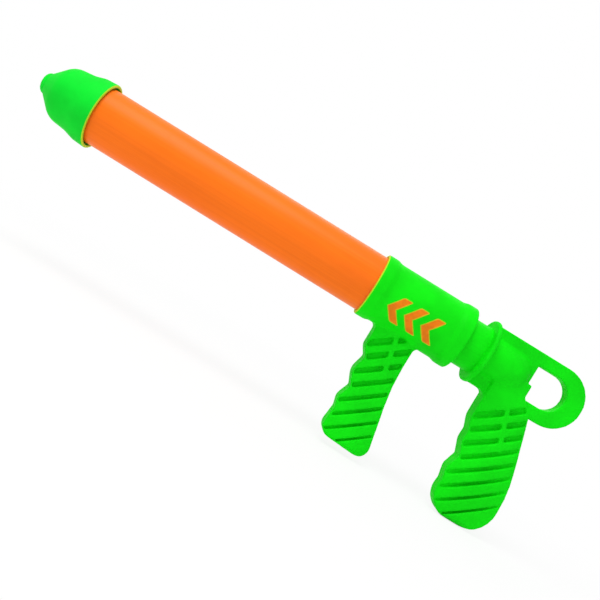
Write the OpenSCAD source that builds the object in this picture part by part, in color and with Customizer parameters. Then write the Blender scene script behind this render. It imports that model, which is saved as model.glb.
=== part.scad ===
// Two-handed pump squirter, in millimetres. The nozzle mouth is the origin, the
// barrel axis runs along +X to the rear handle, and both grips hang along -Z.

/* [Barrel] */
// Length of barrel that shows between nose cap and collar
barrel_show = 242; // [170:1:320]
// Outer radius of the barrel tube
barrel_radius = 23.2; // [21.5:0.1:25]
// Wall of the barrel tube
barrel_wall = 2; // [1.6:0.1:2.4]

/* [Nose cap] */
// Length from the nozzle mouth to the rim of the cap
nose_length = 52; // [50:0.1:58]
// How far the rim stands out from the barrel
rim_stand = 4; // [3.6:0.1:5]
// Radius of the cap where it meets the nozzle stub
cap_front_radius = 9.5; // [9.2:0.1:10.4]
// Wall of the cap
cap_wall = 2; // [1.6:0.1:2.4]
// Depth of the socket that takes the barrel
socket_depth = 15; // [12:0.5:17]
// Depth of the open mouth between rim and barrel
mouth_depth = 7; // [4:0.5:9]
// Radius of the rounded edge of the rim
rim_round = 1.1; // [0.8:0.1:1.3]
// Thickness of the rubber ring in the socket
gasket_thickness = 1.5; // [1:0.1:2.5]

/* [Nozzle] */
// Radius of the nozzle stub
nozzle_radius = 8.7; // [7.8:0.1:9]
// Length of stub that shows ahead of the cap
nozzle_show = 4.6; // [4:0.1:5.4]
// Radius of the water outlet
outlet_radius = 1.8; // [1:0.1:2.6]
// Radius of the shank that sits in the cap
shank_radius = 5; // [4.2:0.1:5.8]

/* [Collar] */
// Length of the collar
collar_length = 79.5; // [75:0.5:98]
// Wall of the collar
collar_wall = 1.5; // [1.3:0.1:2.2]
// How far the end lips stand out from the collar
lip_stand = 1.3; // [0.8:0.1:2]
// Length of the front lip
front_lip = 10.5; // [8:0.1:13]
// Length of the rear lip
rear_lip = 10; // [8:0.1:12]
// Length over which a lip runs out
lip_slope = 4; // [2:0.1:6]
// Thickness of the collar's rear wall
collar_end_wall = 5; // [4:0.1:6]

/* [Grips] */
// Length of the front grip below the collar
front_grip_length = 94.4; // [86:0.1:106]
// Distance from the collar's front to the front grip
front_grip_inset = 19.2; // [17:0.1:22]
// Length of the rear grip below the loop plate
rear_grip_length = 98.2; // [88:0.1:108]
// Distance from the rear flange to the rear grip
rear_grip_inset = 16.1; // [14.5:0.1:18]
// Thickness of a grip at its middle
grip_thickness = 21; // [20:0.1:24]
// Thickness of the web between the rib slots
grip_web = 10.4; // [8:0.1:10.6]
// Distance from one rib slot to the next
slot_pitch = 10.05; // [9:0.05:12]
// Width of the topmost rib slot
slot_width = 5; // [3.5:0.1:6]
// Width of the rim left round the slots of a grip
grip_rim = 1.2; // [0.8:0.1:2.2]
// Slope of the rib slots in degrees
slot_angle = 37.5; // [30:0.5:45]
// Width of the spine that crosses the upper slots
spine_width = 3.6; // [2.6:0.1:5]

/* [Rear handle] */
// Length of plunger tube that shows at rest
neck_show = 16.8; // [10:0.1:26]
// Length from the flange to the end of the loop
handle_length = 90; // [87:0.1:98]
// How far the flange stands out from the barrel radius
flange_stand = 3.1; // [2:0.1:4.5]
// Thickness of the flange
flange_thickness = 3.6; // [3:0.1:5]
// Radius of the boss behind the flange
boss_radius = 15.8; // [14.5:0.1:17]
// Length of the boss behind the flange
boss_length = 39.6; // [37:0.1:42]
// Half the height of the loop plate
loop_half_height = 24.5; // [23:0.1:26]
// Thickness of the loop plate
loop_thickness = 11; // [9:0.1:13]
// Half the height of the finger hole
hole_half_height = 13.8; // [12:0.1:14.5]
// How far the loop sits below the barrel axis
loop_drop = 0.6; // [0.2:0.1:1.2]
// Distance from the boss to the finger hole
hole_inset = 1; // [0.6:0.1:2]
// Width of the band round the end of the loop
loop_band = 14.6; // [12:0.1:16]

/* [Plunger] */
// Gap between plunger tube and barrel bore
tube_gap = 1.9; // [1.7:0.1:3]
// Wall of the plunger tube
tube_wall = 1.8; // [1.4:0.1:2.4]
// Length of the piston
piston_length = 26; // [22:0.5:34]
// Diameter of the rubber of a piston seal
seal_section = 3; // [2.4:0.1:3.4]
// Length of the piston's spigot in the plunger tube
piston_spigot_depth = 16; // [12:0.5:24]
// Length of the handle's spigot inside the collar at rest
handle_spigot_depth = 12; // [9:0.5:16]
// Radius of the cross pins
pin_radius = 2; // [1.5:0.1:2.5]
// Length of the guide bush in the barrel
bush_length = 14; // [10:0.5:20]
// Thickness of the rubber stop behind the piston
bumper_thickness = 3; // [2:0.1:5]

/* [Fits] */
// Clearance between parts that are pushed together
push_fit = 0.05; // [0.03:0.01:0.1]
// Clearance between parts that slide or turn
slide_fit = 0.08; // [0.05:0.01:0.1]
// Room between moving parts that are not a fit
free_room = 0.4; // [0.3:0.05:0.6]

/* [Hidden] */
$fn = 96;
cut_over = nose_length;

shell_green = [0.07, 0.83, 0.14];
barrel_orange = [1.0, 0.42, 0.07];
piston_white = [0.9, 0.91, 0.88];
seal_black = [0.07, 0.07, 0.08];
pin_grey = [0.62, 0.64, 0.66];

// stations along the barrel axis, from the nozzle mouth to the rear
rim_x = nose_length;
shoulder_x = rim_x - socket_depth;
barrel_front = shoulder_x + gasket_thickness;
collar_front = rim_x + barrel_show;
collar_rear = collar_front + collar_length;
end_wall_x = collar_rear - collar_end_wall;
bush_flange = collar_end_wall / 2;
barrel_rear = end_wall_x - bush_flange;
bush_front = barrel_rear - bush_length;
flange_x = collar_rear + neck_show;
flange_rear = flange_x + flange_thickness;
boss_rear = flange_rear + boss_length;
loop_end = flange_x + handle_length;
piston_front = shoulder_x + free_room;
piston_rear = piston_front + piston_length;

// radii about the barrel axis
barrel_bore = barrel_radius - barrel_wall;
rim_radius = barrel_radius + rim_stand;
collar_radius = barrel_radius + push_fit + collar_wall;
lip_radius = collar_radius + lip_stand;
flange_radius = barrel_radius + flange_stand;
tube_radius = barrel_bore - tube_gap;
tube_bore = tube_radius - tube_wall;
spigot_radius = tube_bore - push_fit;
piston_radius = barrel_bore - free_room;
stop_radius = piston_radius - cap_wall / 2;
seal_centre = barrel_bore - slide_fit - seal_section / 2;
groove_radius = seal_centre - seal_section / 2 - slide_fit;
groove_width = seal_section + 2 * free_room;
groove_land_share = 0.16;
front_groove = piston_front + groove_land_share * piston_length;
rear_groove = piston_rear - groove_land_share * piston_length - groove_width;
hollow_share = 0.76;
spigot_hollow = spigot_radius * hollow_share;

// spigots in the plunger tube and the pins that cross them
handle_spigot_front = collar_rear - handle_spigot_depth;
piston_spigot_rear = piston_rear + piston_spigot_depth;
piston_pin_x = piston_rear + piston_spigot_depth / 2;
handle_pin_x = collar_rear - handle_spigot_depth / 2;

// cap outline from its cone's end to its flare: [share of the rim radius,
// share of the nose length, corner radius as a share of the nose length]
cap_outline_shares = [[0.816, 0.344, 0.3], [0.878, 0.627, 0.38], [0.974, 0.792, 0.26]];
cap_rows = [for (s = cap_outline_shares) [s[0] * rim_radius, s[1] * rim_x, s[2] * rim_x]];
cone_angle = atan2(cap_rows[0][0] - cap_front_radius, cap_rows[0][1] - nozzle_show);
seat_wall = 1.5 * cap_wall;
cone_shift = seat_wall / cos(cone_angle);
chamber_front = nozzle_show + seat_wall;
chamber_front_radius = cap_front_radius + seat_wall * tan(cone_angle) - cone_shift;
chamber_cone_end = nozzle_show + (stop_radius - cap_front_radius + cone_shift) / tan(cone_angle);
nozzle_round_share = 0.85;
nozzle_inner = nozzle_show + seat_wall + cap_wall;

// grip outlines: rows of shares of the grip length, [along X, down, corner radius]
front_outline_shares = [
    [-0.084, -0.1, 0], [-0.084, 0, 0], [0, 0, 0.042], [0, 0.19, 0.085],
    [0.053, 0.273, 0.021], [0.017, 0.411, 0.127], [0.076, 0.538, 0.021],
    [0.029, 0.655, 0.106], [0.056, 0.745, 0.032], [0.034, 0.966, 0.09],
    [0.497, 1, 0.095], [0.353, 0.358, 1.6], [0.353, 0, 0.048], [0.414, 0, 0], [0.414, -0.1, 0]];
rear_outline_shares = [
    [0, -0.22, 0], [0.001, 0.232, 0.081], [0.041, 0.331, 0.041], [0.038, 0.418, 0.112],
    [0.085, 0.538, 0.03], [0.044, 0.654, 0.092], [0.07, 0.767, 0.04], [0.029, 1, 0.178],
    [0.569, 1, 0.244], [0.565, 0.575, 1.07], [0.381, 0.005, 0], [0.27, -0.115, 0],
    [0.27, -0.22, 0]];
// middle of a grip at its top and at its bottom, as shares along X
front_middle_shares = [0.181, 0.27];
rear_middle_shares = [0.19, 0.35];
front_slot_share = 0.28;
rear_slot_share = 0.58;
slot_rows = [0 : 7];
slot_taper_share = 0.09;
grip_arc_step = 7;
// length and slope of the spine that crosses the upper slots
front_spine_share = 0.34;
rear_spine_share = 0.37;
front_spine_lean = 12.5;
rear_spine_lean = 20;
crown_share = 4;
end_width_share = 0.56;
end_round_share = 0.42;
loop_round_share = 0.99;
root_drop_share = 0.16;
root_fillet_share = 0.052;
boss_round_share = 0.95;
flange_round_share = 0.15;
handle_hollow = boss_radius * hollow_share;
boss_round = boss_radius * boss_round_share;
front_grip_x = collar_front + front_grip_inset;
front_grip_top = -(collar_radius - collar_wall / 3);
rear_grip_x = flange_rear + rear_grip_inset;
rear_grip_top = -(loop_half_height - collar_wall / 3);

// direction from corner i of an outline to the corner before or after it
function side(rows, i, step) =
    let (p = rows[i], q = rows[(i + step + len(rows)) % len(rows)], d = [q[0] - p[0], q[1] - p[1]])
    d / norm(d);
function corner(rows, i) = [rows[i][0], rows[i][1]];
function half_angle(rows, i) = acos(side(rows, i, -1) * side(rows, i, 1)) / 2;
function tangent(rows, i, step) =
    corner(rows, i) + side(rows, i, step) * rows[i][2] / tan(half_angle(rows, i));
function round_centre(rows, i) =
    let (d = side(rows, i, -1) + side(rows, i, 1))
    corner(rows, i) + d / norm(d) * rows[i][2] / sin(half_angle(rows, i));
function is_rounded(rows, i) = rows[i][2] > 0;
function is_convex(rows, i) = cross(side(rows, i, 1), side(rows, i, -1)) > 0;

// round piece of a corner: the part of its circle beyond the chord between the tangent points
module corner_round(rows, i) {
    out = corner(rows, i) - round_centre(rows, i);
    before = tangent(rows, i, -1);
    after = tangent(rows, i, 1);
    intersection() {
        translate(round_centre(rows, i)) circle(r = rows[i][2]);
        polygon([before, before + out, after + out, after]);
    }
}

// outline through rows of [x, y, corner radius], listed anticlockwise
module rounded_outline(rows) {
    marks = [for (i = [0 : len(rows) - 1]) i];
    difference() {
        union() {
            polygon([for (i = marks) each is_rounded(rows, i)
                ? [tangent(rows, i, -1), tangent(rows, i, 1)] : [corner(rows, i)]]);
            for (i = marks) if (is_rounded(rows, i) && is_convex(rows, i)) corner_round(rows, i);
        }
        for (i = marks) if (is_rounded(rows, i) && !is_convex(rows, i)) corner_round(rows, i);
    }
}

// points along the round of corner i, from one tangent point to the other
function corner_points(rows, i) =
    let (c = round_centre(rows, i), v = tangent(rows, i, -1) - c,
        turn = (180 - 2 * half_angle(rows, i)) * (is_convex(rows, i) ? 1 : -1),
        steps = max(2, ceil(abs(turn) / grip_arc_step)))
    [for (k = [0 : steps]) let (a = turn * k / steps)
        c + [v[0] * cos(a) - v[1] * sin(a), v[0] * sin(a) + v[1] * cos(a)]];

// the same outline with its rounds stepped, for a shape that is cut many times
module stepped_outline(rows) {
    polygon([for (i = [0 : len(rows) - 1]) each is_rounded(rows, i)
        ? corner_points(rows, i) : [corner(rows, i)]]);
}

// turns a profile of [radius, station] about the barrel axis
module turned() {
    rotate([0, 90, 0]) rotate_extrude() children();
}

// profile of a plain ring between two stations
module ring(from, to, inner, outer) {
    translate([inner, from]) square([outer - inner, to - from]);
}

// plate of an outline in the mid-plane of the squirter
module mid_plate(thickness) {
    rotate([90, 0, 0]) linear_extrude(height = thickness, center = true) children();
}

// round bar across the squirter, through the barrel axis
module cross_bar(station, radius, length) {
    translate([station, 0, 0]) rotate([90, 0, 0]) cylinder(h = length, r = radius, center = true);
}

function grip_rows(shares, x, top, length) =
    [for (s = shares) [x + s[0] * length, top - s[1] * length, s[2] * length]];

// the same outline drawn in by a width, with its corner radii to suit
function drawn_in(rows, width) =
    [for (i = [0 : len(rows) - 1])
        let (d = side(rows, i, -1) + side(rows, i, 1), in = is_convex(rows, i) ? width : -width,
            p = corner(rows, i) + d / norm(d) * in / sin(half_angle(rows, i)))
        [p[0], p[1], is_rounded(rows, i) ? max(rows[i][2] - in, 0) : 0]];

// grip before it is slotted: outline, crowned sides and a rounded lower end
module grip_blank(shares, middles, x, top, length) {
    wide = end_width_share * grip_thickness;
    end_round = end_round_share * grip_thickness;
    intersection() {
        mid_plate(2 * grip_thickness) stepped_outline(grip_rows(shares, x, top, length));
        grip_crown(middles, x, top, length, 1);
        grip_crown(middles, x, top, length, -1);
        translate([x - length, 0, 0]) rotate([90, 0, 90]) linear_extrude(height = 3 * length)
            rounded_outline([[wide, 0, 0], [-wide, 0, 0], [-wide, top - length, end_round],
                [wide, top - length, end_round]]);
    }
}

// turns a shape about the middle of a grip's top, so that its -Z runs down the grip or a slot
module at_grip_top(middles, x, top, length, tilt) {
    translate([x + middles[0] * length, 0, top]) rotate([0, -tilt, 0]) children();
}

// tilt of a grip's middle line
function grip_lean(middles) = atan(middles[1] - middles[0]);

// large cylinder that crowns one side of a grip
module grip_crown(middles, x, top, length, hand) {
    crown = crown_share * grip_thickness;
    at_grip_top(middles, x, top, length, grip_lean(middles))
        translate([0, hand * (grip_thickness / 2 - crown), 0])
            cylinder(h = 4 * length, r = crown, center = true);
}

// slanted slots in both sides of a grip, inside its rim, narrower row by row
// and broken by a spine near the top
module grip_slots(shares, middles, x, top, length, first_share, spine_share, spine_lean) {
    difference() {
        intersection() {
            mid_plate(2 * grip_thickness)
                stepped_outline(drawn_in(grip_rows(shares, x, top, length), grip_rim));
            at_grip_top(middles, x, top, length, slot_angle)
                for (row = slot_rows, hand = [-1, 1])
                    translate([0, hand * (grip_web + grip_thickness) / 2, -(row + first_share) * slot_pitch])
                        cube([2 * length, grip_thickness, slot_width * (1 - row * slot_taper_share)],
                            center = true);
        }
        at_grip_top(middles, x, top, length, spine_lean)
            translate([-spine_width / 2, -grip_thickness, -spine_share * length])
                cube([spine_width, 2 * grip_thickness, length]);
    }
}

module ribbed_grip(shares, middles, x, top, length, first_share, spine_share, spine_lean) {
    difference() {
        grip_blank(shares, middles, x, top, length);
        grip_slots(shares, middles, x, top, length, first_share, spine_share, spine_lean);
    }
}

module nose_cap() {
    socket = barrel_radius + push_fit;
    color(shell_green) turned() difference() {
        rounded_outline([[0, nozzle_show, 0], [cap_front_radius, nozzle_show, 0], each cap_rows,
            [rim_radius, rim_x, rim_round], [0, rim_x, 0]]);
        polygon([[0, chamber_front], [chamber_front_radius, chamber_front],
            [stop_radius, chamber_cone_end], [stop_radius, rim_x], [0, rim_x]]);
        ring(0, rim_x, 0, shank_radius + push_fit);
        ring(shoulder_x, rim_x + cut_over, 0, socket);
        polygon([[0, rim_x - mouth_depth], [socket, rim_x - mouth_depth],
            [rim_radius - 2 * rim_round, rim_x], [0, rim_x]]);
    }
}

module nozzle_tip() {
    color(shell_green) turned() rounded_outline([
        [outlet_radius, 0, 0], [nozzle_radius, 0, nozzle_show * nozzle_round_share],
        [nozzle_radius, nozzle_show, 0], [shank_radius, nozzle_show, 0],
        [shank_radius, nozzle_inner, 0], [outlet_radius, nozzle_inner, 0]]);
}

module cap_gasket() {
    color(seal_black) turned() ring(shoulder_x, barrel_front, barrel_bore, barrel_radius);
}

module barrel_tube() {
    color(barrel_orange) turned() ring(barrel_front, barrel_rear, barrel_bore, barrel_radius);
}

module front_handle() {
    lip_round = lip_stand / 2;
    bore = barrel_radius + push_fit;
    color(shell_green) difference() {
        union() {
            turned() rounded_outline([
                [0, collar_front, 0], [lip_radius, collar_front, lip_round],
                [lip_radius, collar_front + front_lip - lip_slope / 2, lip_slope],
                [collar_radius, collar_front + front_lip + lip_slope / 2, lip_slope],
                [collar_radius, collar_rear - rear_lip - lip_slope / 2, lip_slope],
                [lip_radius, collar_rear - rear_lip + lip_slope / 2, lip_slope],
                [lip_radius, collar_rear, lip_round], [0, collar_rear, 0]]);
            ribbed_grip(front_outline_shares, front_middle_shares, front_grip_x, front_grip_top,
                front_grip_length, front_slot_share, front_spine_share, front_spine_lean);
        }
        turned() ring(collar_front - cut_over, end_wall_x, 0, bore);
        turned() ring(collar_front, collar_rear + cut_over, 0, tube_radius + free_room);
    }
}

module guide_bush() {
    sleeve_bore = tube_radius + slide_fit;
    color(piston_white) turned() {
        ring(bush_front, barrel_rear, sleeve_bore, barrel_bore - push_fit);
        ring(barrel_rear, end_wall_x, sleeve_bore, barrel_radius);
    }
}

module seal_groove(station) {
    ring(station, station + groove_width, groove_radius, piston_radius + cut_over);
}

module piston_head() {
    color(piston_white) difference() {
        turned() difference() {
            union() {
                ring(piston_front, piston_rear, 0, piston_radius);
                ring(piston_rear, piston_spigot_rear, 0, spigot_radius);
            }
            seal_groove(front_groove);
            seal_groove(rear_groove);
            ring(piston_front + seat_wall, piston_spigot_rear + cut_over, 0, spigot_hollow);
        }
        cross_bar(piston_pin_x, pin_radius + push_fit, 2 * barrel_radius);
    }
}

module seal(station) {
    color(seal_black) turned() translate([seal_centre, station + groove_width / 2])
        circle(r = seal_section / 2);
}

module piston_seal_front() {
    seal(front_groove);
}

module piston_seal_rear() {
    seal(rear_groove);
}

module stop_bumper() {
    color(seal_black) turned()
        ring(piston_rear, piston_rear + bumper_thickness, tube_radius + push_fit, piston_radius);
}

module plunger_tube() {
    color(shell_green) difference() {
        turned() ring(piston_rear, flange_x, tube_bore, tube_radius);
        cross_bar(piston_pin_x, pin_radius + push_fit, 2 * barrel_radius);
        cross_bar(handle_pin_x, pin_radius + push_fit, 2 * barrel_radius);
    }
}

module pin(station) {
    color(pin_grey) cross_bar(station, pin_radius, 2 * (tube_radius - free_room));
}

module piston_pin() {
    pin(piston_pin_x);
}

module handle_pin() {
    pin(handle_pin_x);
}

// plate of the finger loop: it also stiffens the boss and roots the rear grip
module loop_plate() {
    end_round = loop_half_height * loop_round_share;
    hole_round = hole_half_height * loop_round_share;
    root = rear_grip_x + rear_outline_shares[0][0] * rear_grip_length;
    root_low = rear_grip_top - root_drop_share * rear_grip_length;
    heel = rear_grip_x + rear_outline_shares[10][0] * rear_grip_length;
    fillet = root_fillet_share * rear_grip_length;
    plate_front = flange_x + flange_thickness / 2;
    plate_high = loop_half_height - loop_drop;
    plate_low = -loop_half_height - loop_drop;
    hole_front = boss_rear + hole_inset;
    hole_rear = loop_end - loop_band;
    hole_high = hole_half_height - loop_drop / 2;
    hole_low = -hole_half_height - loop_drop / 2;
    mid_plate(loop_thickness) difference() {
        rounded_outline([
            [plate_front, plate_high, 0], [plate_front, plate_low, 0],
            [root, plate_low, fillet], [root, root_low, 0], [(root + heel) / 2, root_low, 0],
            [heel, plate_low, 0], [loop_end, plate_low, end_round],
            [loop_end, plate_high, end_round]]);
        rounded_outline([
            [hole_front, hole_low, 0], [hole_rear, hole_low, hole_round],
            [hole_rear, hole_high, hole_round], [hole_front, hole_high, 0]]);
    }
}

module rear_handle() {
    flange_round = flange_round_share * flange_thickness;
    color(shell_green) difference() {
        union() {
            turned() rounded_outline([
                [0, handle_spigot_front, 0], [spigot_radius, handle_spigot_front, 0],
                [spigot_radius, flange_x, 0],
                [flange_radius, flange_x, flange_round],
                [flange_radius, flange_rear, flange_round], [boss_radius, flange_rear, flange_round],
                [boss_radius, boss_rear, boss_round], [0, boss_rear, 0]]);
            loop_plate();
            ribbed_grip(rear_outline_shares, rear_middle_shares, rear_grip_x, rear_grip_top,
                rear_grip_length, rear_slot_share, rear_spine_share, rear_spine_lean);
        }
        turned() ring(handle_spigot_front - cut_over, boss_rear - boss_round, 0, handle_hollow);
        cross_bar(handle_pin_x, pin_radius + push_fit, 2 * barrel_radius);
    }
}

nose_cap();
nozzle_tip();
cap_gasket();
barrel_tube();
front_handle();
guide_bush();
piston_head();
piston_seal_front();
piston_seal_rear();
stop_bumper();
plunger_tube();
piston_pin();
handle_pin();
rear_handle();
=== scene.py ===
"""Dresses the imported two-handed pump squirter: soft mouldings, plastics, collar print and stage."""

import math

import bmesh
import bpy
from bpy.props import FloatProperty, FloatVectorProperty, IntProperty, PointerProperty
from mathutils import Matrix, Vector


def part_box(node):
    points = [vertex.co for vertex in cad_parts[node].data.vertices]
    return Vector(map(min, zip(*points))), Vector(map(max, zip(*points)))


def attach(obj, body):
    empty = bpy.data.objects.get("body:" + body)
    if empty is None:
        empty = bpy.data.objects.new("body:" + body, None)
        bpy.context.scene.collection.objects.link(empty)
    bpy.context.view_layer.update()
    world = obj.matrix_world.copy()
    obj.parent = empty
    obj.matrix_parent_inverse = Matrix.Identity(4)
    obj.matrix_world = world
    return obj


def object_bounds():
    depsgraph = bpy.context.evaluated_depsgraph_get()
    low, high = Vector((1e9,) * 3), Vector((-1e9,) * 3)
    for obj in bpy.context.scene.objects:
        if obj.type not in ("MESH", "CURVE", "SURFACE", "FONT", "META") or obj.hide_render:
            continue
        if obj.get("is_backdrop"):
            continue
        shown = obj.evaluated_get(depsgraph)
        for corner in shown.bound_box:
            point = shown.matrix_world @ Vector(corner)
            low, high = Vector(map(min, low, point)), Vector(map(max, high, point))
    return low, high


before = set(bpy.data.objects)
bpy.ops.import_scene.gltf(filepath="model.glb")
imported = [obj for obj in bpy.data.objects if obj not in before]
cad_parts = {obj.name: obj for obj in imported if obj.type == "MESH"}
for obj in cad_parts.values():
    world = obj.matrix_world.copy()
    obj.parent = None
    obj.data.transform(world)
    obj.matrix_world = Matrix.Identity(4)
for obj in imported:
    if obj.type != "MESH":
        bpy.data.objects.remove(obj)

bl_info = {
    "name": "Pump squirter",
    "version": (1, 0, 0),
    "blender": (4, 5, 0),
    "location": "3D View > Sidebar > Squirter",
    "description": "Mouldings, plastics, collar print and stage of a two-handed pump squirter",
    "category": "Object",
}

CAD_LOW, CAD_HIGH = (Vector(corner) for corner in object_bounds())
CAD_MIDDLE = (CAD_LOW + CAD_HIGH) / 2
CAP_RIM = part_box("nose_cap")[1].x
COLLAR_LOW, COLLAR_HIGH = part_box("front_handle")


class Shade:
    """A socket in a material: sums and products of it add Math nodes behind it."""

    def __init__(self, tree, socket=None):
        self.tree = tree
        self.socket = socket

    def node(self, kind, settings=None, sockets=None, output=0):
        """Adds a node of any kind: first its settings, then the values or links of its sockets."""
        made = self.tree.nodes.new(kind)
        for name, value in (settings or {}).items():
            setattr(made, name, value)
        for name, value in (sockets or {}).items():
            if isinstance(value, Shade):
                self.tree.links.new(value.socket, made.inputs[name])
            else:
                made.inputs[name].default_value = value
        return Shade(self.tree, made.outputs[output])

    def math(self, operation, first, second=0.0):
        return self.node("ShaderNodeMath", {"operation": operation}, {0: first, 1: second})

    def __add__(self, other):
        return self.math("ADD", self, other)

    def __sub__(self, other):
        return self.math("SUBTRACT", self, other)

    def __rsub__(self, other):
        return self.math("SUBTRACT", other, self)

    def __mul__(self, other):
        return self.math("MULTIPLY", self, other)

    def __abs__(self):
        return self.math("ABSOLUTE", self)

    __radd__ = __add__
    __rmul__ = __mul__

    def rise(self, low, high):
        """0 below low, 1 above high and a smooth slope between them."""
        return self.node(
            "ShaderNodeMapRange",
            {"interpolation_type": "SMOOTHSTEP"},
            {"Value": self, "From Min": low, "From Max": high},
        )

    def colour(self, low, high):
        """Mixes two colours, with this value as the share of the second."""
        return self.node("ShaderNodeMix", {"data_type": "RGBA"}, {0: self, 6: low, 7: high}, 2)

    def noise(self, size, detail=2.0, stretch=(1.0, 1.0, 1.0)):
        """Noise with lumps of that size in metres, drawn out by the stretch along each axis."""
        place = self.node(
            "ShaderNodeMapping", None, {"Vector": self, "Scale": [1.0 / s for s in stretch]}
        )
        sockets = {"Vector": place, "Scale": 1.0 / size, "Detail": detail}
        return self.node("ShaderNodeTexNoise", None, sockets)


class Finish:
    """A new material whose shader takes constants at once and patterns through Shade."""

    def __init__(self, name, **constants):
        self.material = bpy.data.materials.new(name)
        self.material.use_nodes = True
        self.tree = self.material.node_tree
        self.shader = self.tree.nodes["Principled BSDF"]
        self.place = Shade(self.tree).node("ShaderNodeTexCoord", output="Object")
        for name, value in constants.items():
            self.shader.inputs[name.replace("_", " ")].default_value = value

    def axes(self):
        """The x, y and z of a point on the piece."""
        return [
            self.place.node("ShaderNodeSeparateXYZ", None, {0: self.place}, axis) for axis in range(3)
        ]

    def relief(self, height, depth):
        """Bump whose full height stands for that depth in metres."""
        return self.place.node("ShaderNodeBump", None, {"Height": height, "Distance": depth}, "Normal")

    def wire(self, **patterns):
        for name, shade in patterns.items():
            self.tree.links.new(shade.socket, self.shader.inputs[name.replace("_", " ")])
        return self.material


def rgba(colour, gain=1.0):
    """A colour with full alpha, lightened or darkened by the gain."""
    return [min(1.0, channel * gain) for channel in colour] + [1.0]


def shell_plastic(name, looks, pigment, parting=0.0, highlight_from=None, highlight_to=None):
    """Moulded plastic: cloudy pigment, fine grain, rub marks, a parting line and a highlight painted on a
    thin edge.
    """
    finish = Finish(name, Specular_IOR_Level=looks.shell_gloss, IOR=1.5)
    x, y, _ = finish.axes()
    cloud = finish.place.noise(0.03, 3.0)
    grain = finish.place.noise(0.0007, 3.0)
    rubs = finish.place.noise(0.004, 4.0, (6.0, 6.0, 1.0)).rise(0.56, 0.72)
    colour = cloud.rise(0.3, 0.7).colour(rgba(pigment, 0.9), rgba(pigment, 1.07))
    height = grain * 0.5 + rubs * 0.2
    if parting:
        ridge = 1.0 - abs(y).rise(0.4 * parting, parting)
        colour = (ridge * 0.25).colour(colour, rgba(looks.edge_highlight_colour))
        height = height + ridge * 2.0
    # Painted highlight: along x the colour turns pale green toward a thin edge, standing in for the light
    # that edge catches.
    if highlight_from is not None:
        colour = x.rise(highlight_from, highlight_to).colour(colour, rgba(looks.edge_highlight_colour))
    return finish.wire(
        Base_Color=colour,
        Roughness=looks.shell_roughness + (grain - 0.5) * 0.1 + rubs * 0.12,
        Normal=finish.relief(height, 0.00003),
    )


def barrel_plastic(looks):
    """Extruded plastic: streaks drawn along the tube, and faint rub rings round it."""
    finish = Finish("barrel_orange", Specular_IOR_Level=looks.barrel_gloss, IOR=1.5)
    streaks = finish.place.noise(0.0016, 3.0, (60.0, 1.0, 1.0))
    cloud = finish.place.noise(0.06, 2.0)
    scuffs = finish.place.noise(0.003, 4.0, (1.0, 9.0, 9.0)).rise(0.62, 0.76)
    tone = (streaks * 0.6 + cloud * 0.4).rise(0.3, 0.7)
    colour = tone.colour(rgba(looks.barrel_colour, 0.93), rgba(looks.barrel_colour, 1.06))
    return finish.wire(
        Base_Color=colour,
        Roughness=looks.barrel_roughness + (streaks - 0.5) * 0.16 + scuffs * 0.1,
        Normal=finish.relief(streaks + scuffs * 0.3, 0.00003),
    )


def tube_plastic(looks):
    """The sliding tube: shell plastic with lengthwise slide marks."""
    finish = Finish("plunger_green", Specular_IOR_Level=looks.shell_gloss, IOR=1.5)
    marks = finish.place.noise(0.0008, 4.0, (90.0, 1.0, 1.0))
    worn = marks.rise(0.55, 0.7)
    cloud = finish.place.noise(0.03, 3.0)
    colour = cloud.rise(0.3, 0.7).colour(rgba(looks.shell_colour, 0.88), rgba(looks.shell_colour, 1.04))
    return finish.wire(
        Base_Color=(worn * 0.3).colour(colour, rgba(looks.shell_colour, 0.8)),
        Roughness=looks.shell_roughness - 0.06 + worn * 0.14,
        Normal=finish.relief(marks, 0.00002),
    )


def print_ink(name, looks, pigment):
    """Screen-printed ink: a slightly uneven film with pin holes that show the shell."""
    finish = Finish(name, Specular_IOR_Level=0.12, IOR=1.5)
    film = finish.place.noise(0.005, 3.0)
    holes = finish.place.noise(0.0009, 2.0).rise(0.68, 0.76)
    ink = film.rise(0.35, 0.65).colour(rgba(pigment, 0.92), rgba(pigment, 1.08))
    return finish.wire(
        Base_Color=(holes * 0.35).colour(ink, rgba(looks.shell_colour)),
        Roughness=0.42 + film * 0.16,
        Normal=finish.relief(film, 0.00004),
    )


def piston_plastic(looks):
    """Natural moulded plastic of the piston and the bush, with turned tool marks."""
    finish = Finish("piston_white", Specular_IOR_Level=0.4)
    rings = finish.place.noise(0.0009, 2.0, (1.0, 40.0, 40.0))
    cloud = finish.place.noise(0.012, 3.0)
    return finish.wire(
        Base_Color=cloud.colour(rgba(looks.piston_colour, 0.9), rgba(looks.piston_colour)),
        Roughness=0.4 + rings * 0.2,
        Normal=finish.relief(rings, 0.00003),
    )


def seal_rubber(looks):
    """Rubber with bloom and a fine open grain."""
    finish = Finish("seal_rubber", Specular_IOR_Level=0.35)
    grain = finish.place.noise(0.0004, 3.0)
    bloom = finish.place.noise(0.006, 3.0).rise(0.5, 0.75)
    return finish.wire(
        Base_Color=(bloom * 0.5).colour(rgba(looks.seal_colour), rgba(looks.seal_colour, 2.4)),
        Roughness=0.55 + grain * 0.25,
        Normal=finish.relief(grain, 0.00004),
    )


def pin_steel(looks):
    """Drawn steel with lines along the pin."""
    finish = Finish("pin_steel", Metallic=1.0)
    lines = finish.place.noise(0.0003, 3.0, (1.0, 80.0, 1.0))
    return finish.wire(
        Base_Color=lines.colour(rgba(looks.pin_colour, 0.85), rgba(looks.pin_colour)),
        Roughness=0.25 + lines * 0.2,
        Normal=finish.relief(lines, 0.00001),
    )


def dress(names, material):
    """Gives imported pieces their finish."""
    for name in names:
        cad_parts[name].data.materials.clear()
        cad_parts[name].data.materials.append(material)


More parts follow.
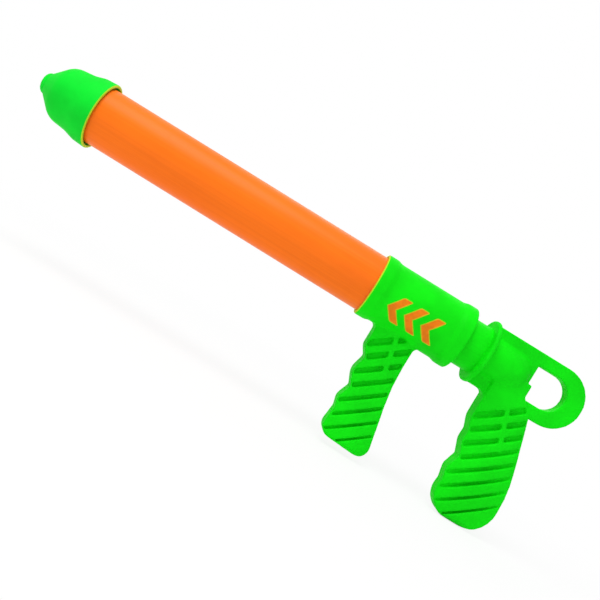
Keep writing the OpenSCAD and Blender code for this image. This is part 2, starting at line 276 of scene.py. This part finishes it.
def soften(name, shapes):
    """Puts a skin over a packed moulding that rounds its edges and fills its inner corners."""
    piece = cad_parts[name]
    skin = piece.modifiers.new("Mould skin", "REMESH")
    skin.mode = "VOXEL"
    skin.voxel_size = shapes.skin_cell
    skin.use_smooth_shade = True
    rounds = piece.modifiers.new("Soft edges", "SMOOTH")
    rounds.factor = 0.5
    rounds.iterations = shapes.skin_passes


class SquirterShapes(bpy.types.PropertyGroup):
    """Sizes of the soft mouldings and of the collar print."""

    skin_cell: FloatProperty(
        name="Skin cell",
        description="Cell of the skin over a moulding",
        default=0.00078,
        unit="LENGTH",
        precision=5,
    )
    skin_passes: IntProperty(
        name="Skin passes", description="Passes that round the edges", default=6, min=0
    )
    mark_count: IntProperty(name="Marks", description="Chevrons in the print", default=3, min=1)
    mark_slices: IntProperty(
        name="Mark slices", description="Slices of a chevron, an even number", default=16, min=4
    )
    mark_width: FloatProperty(
        name="Mark width", description="Width of a chevron", default=0.0076, unit="LENGTH"
    )
    mark_height: FloatProperty(
        name="Mark height", description="Height of a chevron", default=0.0225, unit="LENGTH"
    )
    mark_pitch: FloatProperty(
        name="Mark pitch", description="Distance between chevrons", default=0.0142, unit="LENGTH"
    )
    mark_slant: FloatProperty(
        name="Mark slant",
        description="Slant of a chevron's arms",
        default=math.radians(36),
        subtype="ANGLE",
    )
    mark_corner: FloatProperty(
        name="Mark corner", description="Corner radius of a mark", default=0.0014, unit="LENGTH"
    )
    mark_border: FloatProperty(
        name="Mark border",
        description="Width of the pale border of a mark",
        default=0.0006,
        unit="LENGTH",
        precision=4,
    )
    print_from_front: FloatProperty(
        name="Print from front",
        description="Middle of the print from the collar's front",
        default=0.0375,
        unit="LENGTH",
    )
    print_drop: FloatProperty(
        name="Print drop",
        description="Middle of the print below the collar's side",
        default=0.0085,
        unit="LENGTH",
    )
    ink_stand: FloatProperty(
        name="Ink stand",
        description="How far the ink stands on the collar",
        default=0.0001,
        unit="LENGTH",
        precision=5,
    )
    lip_stand: FloatProperty(
        name="Lip stand",
        description="How far the collar's lips stand out",
        default=0.0013,
        unit="LENGTH",
        precision=4,
    )


class SquirterLooks(bpy.types.PropertyGroup):
    """Colours and gloss of the plastics."""

    shell_colour: FloatVectorProperty(
        name="Shell", description="Green of the mouldings", default=(0.005, 0.75, 0.006), subtype="COLOR"
    )
    cap_colour: FloatVectorProperty(
        name="Cap",
        description="Green of the nose cap and nozzle",
        default=(0.005, 0.71, 0.03),
        subtype="COLOR",
    )
    # Pale green painted on thin edges as a highlight; the parting line is also lightened toward it.
    edge_highlight_colour: FloatVectorProperty(
        name="Thin edges",
        description="Pale green of thin edges",
        default=(0.5, 0.74, 0.03),
        subtype="COLOR",
    )
    barrel_colour: FloatVectorProperty(
        name="Barrel", description="Orange of the barrel", default=(1.0, 0.176, 0.008), subtype="COLOR"
    )
    ink_colour: FloatVectorProperty(
        name="Ink", description="Orange of the print", default=(0.82, 0.2, 0.004), subtype="COLOR"
    )
    border_colour: FloatVectorProperty(
        name="Ink border",
        description="Yellow of the border of a mark",
        default=(0.56, 0.52, 0.012),
        subtype="COLOR",
    )
    piston_colour: FloatVectorProperty(
        name="Piston",
        description="White of the piston and bush",
        default=(0.8, 0.81, 0.77),
        subtype="COLOR",
    )
    seal_colour: FloatVectorProperty(
        name="Seals", description="Black of the rubber", default=(0.02, 0.02, 0.022), subtype="COLOR"
    )
    pin_colour: FloatVectorProperty(
        name="Pins", description="Grey of the pins", default=(0.55, 0.56, 0.58), subtype="COLOR"
    )
    shell_roughness: FloatProperty(
        name="Shell roughness", description="Roughness of the mouldings", default=0.54
    )
    barrel_roughness: FloatProperty(
        name="Barrel roughness", description="Roughness of the barrel", default=0.36
    )
    shell_gloss: FloatProperty(
        name="Shell gloss", description="Reflection level of the mouldings", default=0.045
    )
    barrel_gloss: FloatProperty(
        name="Barrel gloss", description="Reflection level of the barrel", default=0.1
    )
    # Span of the highlight painted on the cap's rim.
    cap_rim_highlight: FloatVectorProperty(
        name="Cap edge",
        description="Where the cap turns pale, from its rim: start and full",
        default=(0.0008, 0.0003),
        size=2,
        precision=4,
        unit="LENGTH",
    )
    # Span of the highlight painted on the collar's front edge.
    collar_front_highlight: FloatVectorProperty(
        name="Collar edge",
        description="Where the collar turns pale, from its front: start and full",
        default=(0.0011, 0.0004),
        size=2,
        precision=4,
        unit="LENGTH",
    )
    parting_width: FloatProperty(
        name="Parting line",
        description="Half width of the parting line",
        default=0.00025,
        unit="LENGTH",
        precision=5,
    )


class SquirterStage(bpy.types.PropertyGroup):
    """Camera, lamps and floor."""

    camera_at: FloatVectorProperty(
        name="Camera",
        description="Place of the camera",
        default=(0.2346, -0.526, -0.0347),
        subtype="TRANSLATION",
    )
    camera_roll: FloatProperty(
        name="Roll", description="Roll of the camera", default=math.radians(31.75), subtype="ANGLE"
    )
    lens: FloatProperty(name="Lens", description="Focal length in millimetres", default=41.22)
    camera_shift: FloatVectorProperty(
        name="Shift", description="Shift of the picture across and up", default=(0.0306, -0.031), size=2
    )
    key_power: FloatProperty(
        name="Key", description="Power of the lamp above the nose", default=11.0, unit="POWER"
    )
    fill_power: FloatProperty(
        name="Fill", description="Power of the lamp beside the camera", default=2.3, unit="POWER"
    )
    back_power: FloatProperty(
        name="Back", description="Power of the lamp behind", default=2.0, unit="POWER"
    )
    key_from: FloatVectorProperty(
        name="Key from",
        description="Lamp above the nose, from the middle",
        default=(-0.35, -0.45, 1.1),
        subtype="TRANSLATION",
    )
    fill_from: FloatVectorProperty(
        name="Fill from",
        description="Lamp beside the camera, from the middle",
        default=(0.5, -1.1, -0.05),
        subtype="TRANSLATION",
    )
    back_from: FloatVectorProperty(
        name="Back from",
        description="Lamp behind, from the middle",
        default=(0.3, 0.9, 0.6),
        subtype="TRANSLATION",
    )
    key_side: FloatProperty(
        name="Key side", description="Side of the key lamp", default=0.7, unit="LENGTH"
    )
    soft_side: FloatProperty(
        name="Soft side", description="Side of the fill and back lamps", default=1.0, unit="LENGTH"
    )
    ambient: FloatProperty(name="Ambient", description="Strength of the light all round", default=0.52)
    floor_white: FloatProperty(
        name="Floor white",
        description="Share of plain white in the floor near the squirter",
        default=0.88,
    )
    floor_near: FloatProperty(
        name="Floor near",
        description="Distance from which the floor turns plain white",
        default=0.25,
        unit="LENGTH",
    )
    floor_far: FloatProperty(
        name="Floor far",
        description="Distance at which the floor is plain white",
        default=0.6,
        unit="LENGTH",
    )
    floor_side: FloatProperty(
        name="Floor side", description="Side of the floor", default=60.0, unit="LENGTH"
    )


class SQUIRTER_OT_nose(bpy.types.Operator):
    """Finishes the nose cap, with a highlight painted on its rim, and the nozzle tip"""

    bl_idname = "squirter.nose"
    bl_label = "Nose cap and nozzle"

    def execute(self, context):
        looks = context.scene.squirter_looks
        # Painted highlight: the cap turns pale green between these two places before its rim.
        start, full = (CAP_RIM - distance for distance in looks.cap_rim_highlight)
        dress(["nose_cap"], shell_plastic("cap_green", looks, looks.cap_colour, 0.0, start, full))
        dress(["nozzle_tip"], shell_plastic("nozzle_green", looks, looks.cap_colour))
        return {"FINISHED"}


class SQUIRTER_OT_barrel(bpy.types.Operator):
    """Finishes the barrel tube"""

    bl_idname = "squirter.barrel"
    bl_label = "Barrel"

    def execute(self, context):
        dress(["barrel_tube"], barrel_plastic(context.scene.squirter_looks))
        return {"FINISHED"}


class SQUIRTER_OT_front_handle(bpy.types.Operator):
    """Softens and finishes the collar with its ribbed grip"""

    bl_idname = "squirter.front_handle"
    bl_label = "Front handle"

    def execute(self, context):
        looks = context.scene.squirter_looks
        soften("front_handle", context.scene.squirter_shapes)
        # Painted highlight: the collar turns pale green between these two places behind its front edge.
        start, full = (COLLAR_LOW.x + distance for distance in looks.collar_front_highlight)
        dress(
            ["front_handle"],
            shell_plastic("collar_green", looks, looks.shell_colour, looks.parting_width, start, full),
        )
        return {"FINISHED"}


class SQUIRTER_OT_collar_print(bpy.types.Operator):
    """Prints a row of chevrons on the left side of the collar"""

    bl_idname = "squirter.collar_print"
    bl_label = "Collar print"

    def execute(self, context):
        shapes = context.scene.squirter_shapes
        ink = bmesh.new()
        for index in range(shapes.mark_count):
            self.chevron(ink, shapes, index)
        skin = bmesh.ops.extrude_face_region(ink, geom=ink.faces[:])["geom"]
        self.wrap(ink, {v for v in skin if isinstance(v, bmesh.types.BMVert)}, shapes)
        bmesh.ops.recalc_face_normals(ink, faces=ink.faces)
        mesh = bpy.data.meshes.new("collar_print")
        ink.to_mesh(mesh)
        ink.free()
        looks = context.scene.squirter_looks
        mesh.materials.append(print_ink("collar_ink", looks, looks.ink_colour))
        mesh.materials.append(print_ink("border_ink", looks, looks.border_colour))
        piece = bpy.data.objects.new("collar_print", mesh)
        context.scene.collection.objects.link(piece)
        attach(piece, "barrel")
        return {"FINISHED"}

    def chevron(self, ink, shapes, index):
        """One flat chevron that points to the nose, in slices so that it can bend round the collar."""
        done = set(ink.faces)
        grid = bmesh.ops.create_grid(ink, x_segments=1, y_segments=shapes.mark_slices, size=0.5)
        strip = grid["verts"]
        reach = math.tan(shapes.mark_slant)
        place = (index - (shapes.mark_count - 1) / 2) * shapes.mark_pitch
        middle = place - reach * shapes.mark_height / 4
        for vert in strip:
            up = vert.co.y * shapes.mark_height
            vert.co = (middle + vert.co.x * shapes.mark_width + reach * abs(up), up, 0)
        corners = [v for v in strip if len(v.link_faces) == 1]
        bmesh.ops.bevel(
            ink,
            geom=corners,
            offset=shapes.mark_corner,
            segments=4,
            profile=0.5,
            affect="VERTICES",
            material=-1,
        )
        faces = [f for f in ink.faces if f not in done]
        border = bmesh.ops.inset_region(
            ink, faces=faces, thickness=shapes.mark_border, use_boundary=True, use_even_offset=True
        )
        for face in border["faces"]:
            face.material_index = 1

    def wrap(self, ink, outer, shapes):
        """Bends the flat print round the collar, its outer face just proud of the plastic."""
        radius = COLLAR_HIGH.y - shapes.lip_stand
        drop = math.asin(shapes.print_drop / radius)
        for vert in ink.verts:
            turn = vert.co.y / radius - drop
            reach = radius + (shapes.ink_stand if vert in outer else -shapes.ink_stand)
            vert.co = (
                COLLAR_LOW.x + shapes.print_from_front + vert.co.x,
                -reach * math.cos(turn),
                reach * math.sin(turn),
            )


class SQUIRTER_OT_plunger(bpy.types.Operator):
    """Finishes the sliding plunger tube"""

    bl_idname = "squirter.plunger"
    bl_label = "Plunger tube"

    def execute(self, context):
        dress(["plunger_tube"], tube_plastic(context.scene.squirter_looks))
        return {"FINISHED"}


class SQUIRTER_OT_rear_handle(bpy.types.Operator):
    """Softens and finishes the rear grip with its flange and finger loop"""

    bl_idname = "squirter.rear_handle"
    bl_label = "Rear handle"

    def execute(self, context):
        looks = context.scene.squirter_looks
        soften("rear_handle", context.scene.squirter_shapes)
        dress(
            ["rear_handle"], shell_plastic("handle_green", looks, looks.shell_colour, looks.parting_width)
        )
        return {"FINISHED"}


class SQUIRTER_OT_inner_pieces(bpy.types.Operator):
    """Finishes the pieces inside the barrel"""

    bl_idname = "squirter.inner_pieces"
    bl_label = "Inner pieces"

    def execute(self, context):
        looks = context.scene.squirter_looks
        dress(["guide_bush", "piston_head"], piston_plastic(looks))
        dress(["cap_gasket", "piston_seal_front", "piston_seal_rear", "stop_bumper"], seal_rubber(looks))
        dress(["piston_pin", "handle_pin"], pin_steel(looks))
        return {"FINISHED"}


class SQUIRTER_OT_stage(bpy.types.Operator):
    """Sets up the camera, the lamps, the light all round and a white floor"""

    bl_idname = "squirter.stage"
    bl_label = "Stage"

    def execute(self, context):
        scene = context.scene
        stage = scene.squirter_stage
        self.camera(scene, stage)
        self.lamp(scene, "key_lamp", stage.key_from, stage.key_side, stage.key_power)
        self.lamp(scene, "fill_lamp", stage.fill_from, stage.soft_side, stage.fill_power)
        self.lamp(scene, "back_lamp", stage.back_from, stage.soft_side, stage.back_power)
        self.surround(scene, stage)
        self.floor(scene, stage)
        scene.view_settings.view_transform = "Standard"
        return {"FINISHED"}

    def camera(self, scene, stage):
        data = bpy.data.cameras.new("camera")
        data.lens = stage.lens
        data.shift_x, data.shift_y = stage.camera_shift
        camera = bpy.data.objects.new("camera", data)
        camera.matrix_world = (
            Matrix.Translation(stage.camera_at)
            @ Matrix.Rotation(math.pi / 2, 4, "X")
            @ Matrix.Rotation(stage.camera_roll, 4, "Z")
        )
        scene.collection.objects.link(camera)
        scene.camera = camera

    def lamp(self, scene, name, reach, side, power):
        """A square lamp at that reach from the middle of the squirter, turned to it."""
        data = bpy.data.lights.new(name, "AREA")
        data.energy = power
        data.size = side
        lamp = bpy.data.objects.new(name, data)
        lamp.location = CAD_MIDDLE + reach
        lamp.rotation_euler = (-reach).to_track_quat("-Z", "Y").to_euler()
        scene.collection.objects.link(lamp)

    def seen(self, tree):
        """1 for rays that show the background itself: from the camera, a gloss or a clear piece."""
        path = tree.nodes.new("ShaderNodeLightPath").outputs
        camera, gloss, clear = (
            Shade(tree, path[name]) for name in ("Is Camera Ray", "Is Glossy Ray", "Is Transmission Ray")
        )
        return camera.math("MAXIMUM", camera.math("MAXIMUM", camera, gloss), clear)

    def surround(self, scene, stage):
        world = bpy.data.worlds.new("surround")
        world.use_nodes = True
        scene.world = world
        tree = world.node_tree
        seen = self.seen(tree)
        soft = tree.nodes["Background"]
        soft.inputs["Color"].default_value = (1, 1, 1, 1)
        strength = seen * (1.0 - stage.ambient) + stage.ambient
        tree.links.new(strength.socket, soft.inputs["Strength"])

    def floor(self, scene, stage):
        sheet = bmesh.new()
        bmesh.ops.create_grid(sheet, x_segments=1, y_segments=1, size=stage.floor_side / 2)
        bmesh.ops.translate(sheet, verts=sheet.verts, vec=(0, 0, CAD_LOW.z))
        mesh = bpy.data.meshes.new("floor")
        sheet.to_mesh(mesh)
        sheet.free()
        finish = Finish(
            "floor_white", Base_Color=(0.9, 0.9, 0.9, 1), Roughness=1.0, Specular_IOR_Level=0.0
        )
        tree = finish.tree
        white = finish.place.node("ShaderNodeEmission", None, {"Strength": 1.0})
        away = finish.place.node(
            "ShaderNodeVectorMath", {"operation": "DISTANCE"}, {0: finish.place, 1: CAD_MIDDLE}, "Value"
        )
        far = away.rise(stage.floor_near, stage.floor_far)
        share = far * (1.0 - stage.floor_white) + stage.floor_white
        mixed = finish.place.node(
            "ShaderNodeMixShader",
            None,
            {0: self.seen(tree) * share, 1: Shade(tree, finish.shader.outputs[0]), 2: white},
        )
        tree.links.new(mixed.socket, tree.nodes["Material Output"].inputs["Surface"])
        mesh.materials.append(finish.material)
        floor = bpy.data.objects.new("floor", mesh)
        scene.collection.objects.link(floor)
        floor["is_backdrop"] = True


OPERATORS = (
    SQUIRTER_OT_nose,
    SQUIRTER_OT_barrel,
    SQUIRTER_OT_front_handle,
    SQUIRTER_OT_collar_print,
    SQUIRTER_OT_plunger,
    SQUIRTER_OT_rear_handle,
    SQUIRTER_OT_inner_pieces,
    SQUIRTER_OT_stage,
)


class SQUIRTER_PT_panel(bpy.types.Panel):
    """Lists the pieces of the squirter and their settings"""

    bl_idname = "SQUIRTER_PT_panel"
    bl_label = "Pump squirter"
    bl_space_type = "VIEW_3D"
    bl_region_type = "UI"
    bl_category = "Squirter"

    def draw(self, context):
        for operator in OPERATORS:
            self.layout.operator(operator.bl_idname)
        for place in GROUPS:
            group = getattr(context.scene, place)
            column = self.layout.box().column()
            for name in group.__annotations__:
                column.prop(group, name)


GROUPS = {
    "squirter_shapes": SquirterShapes,
    "squirter_looks": SquirterLooks,
    "squirter_stage": SquirterStage,
}


def register():
    for group in GROUPS.values():
        bpy.utils.register_class(group)
    for name, group in GROUPS.items():
        setattr(bpy.types.Scene, name, PointerProperty(type=group))
    for operator in OPERATORS:
        bpy.utils.register_class(operator)
    bpy.utils.register_class(SQUIRTER_PT_panel)


def unregister():
    bpy.utils.unregister_class(SQUIRTER_PT_panel)
    for operator in reversed(OPERATORS):
        bpy.utils.unregister_class(operator)
    for name, group in GROUPS.items():
        delattr(bpy.types.Scene, name)
        bpy.utils.unregister_class(group)


def main():
    register()
    bpy.ops.squirter.nose()
    bpy.ops.squirter.barrel()
    bpy.ops.squirter.front_handle()
    bpy.ops.squirter.collar_print()
    bpy.ops.squirter.plunger()
    bpy.ops.squirter.rear_handle()
    bpy.ops.squirter.inner_pieces()
    bpy.ops.squirter.stage()


if __name__ == "__main__":
    main()
